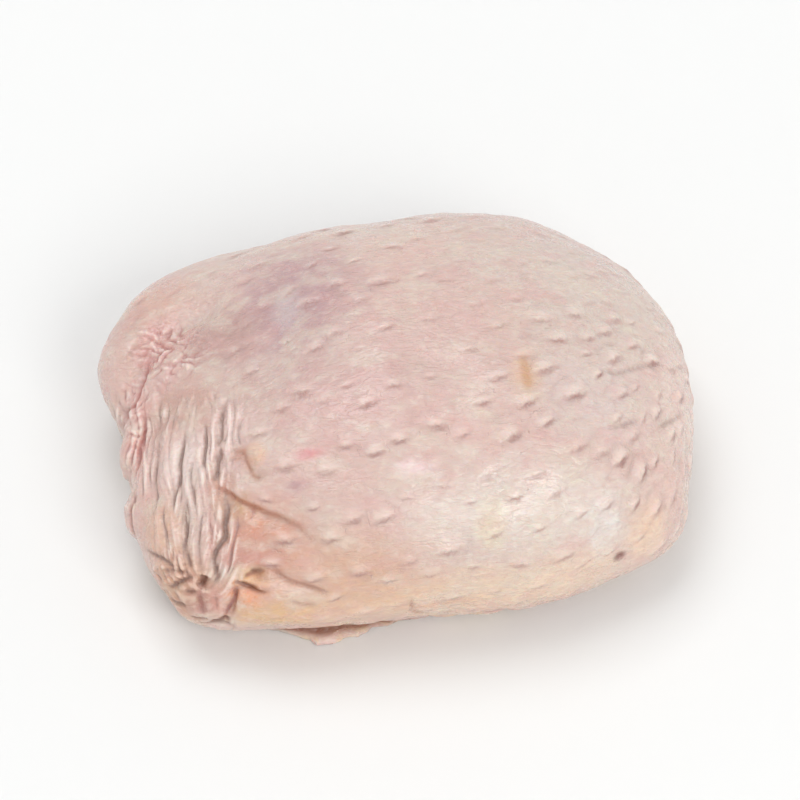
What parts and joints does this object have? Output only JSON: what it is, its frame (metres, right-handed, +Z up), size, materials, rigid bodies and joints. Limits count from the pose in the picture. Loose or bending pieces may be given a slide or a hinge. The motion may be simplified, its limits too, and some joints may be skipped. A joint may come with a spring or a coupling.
{
  "type": "raw chicken thigh",
  "caption": "Raw chicken thigh with the skin on: a plump oval mound, gathered into folds and lobes at its left end, lying on its flat underside.",
  "frame": {"origin": "on the surface the thigh lies on, under the middle of its bounding box", "axes": "+X along the thigh's length, away from the end where the skin is gathered; +Y towards its back edge, away from the viewer of the picture; +Z up through the skin side"},
  "size_m": [0.105, 0.081, 0.04],
  "materials": {
    "skin": "moist"
  },
  "bodies": {
    "root": {"thigh": "skin"}
  },
  "joints": []
}
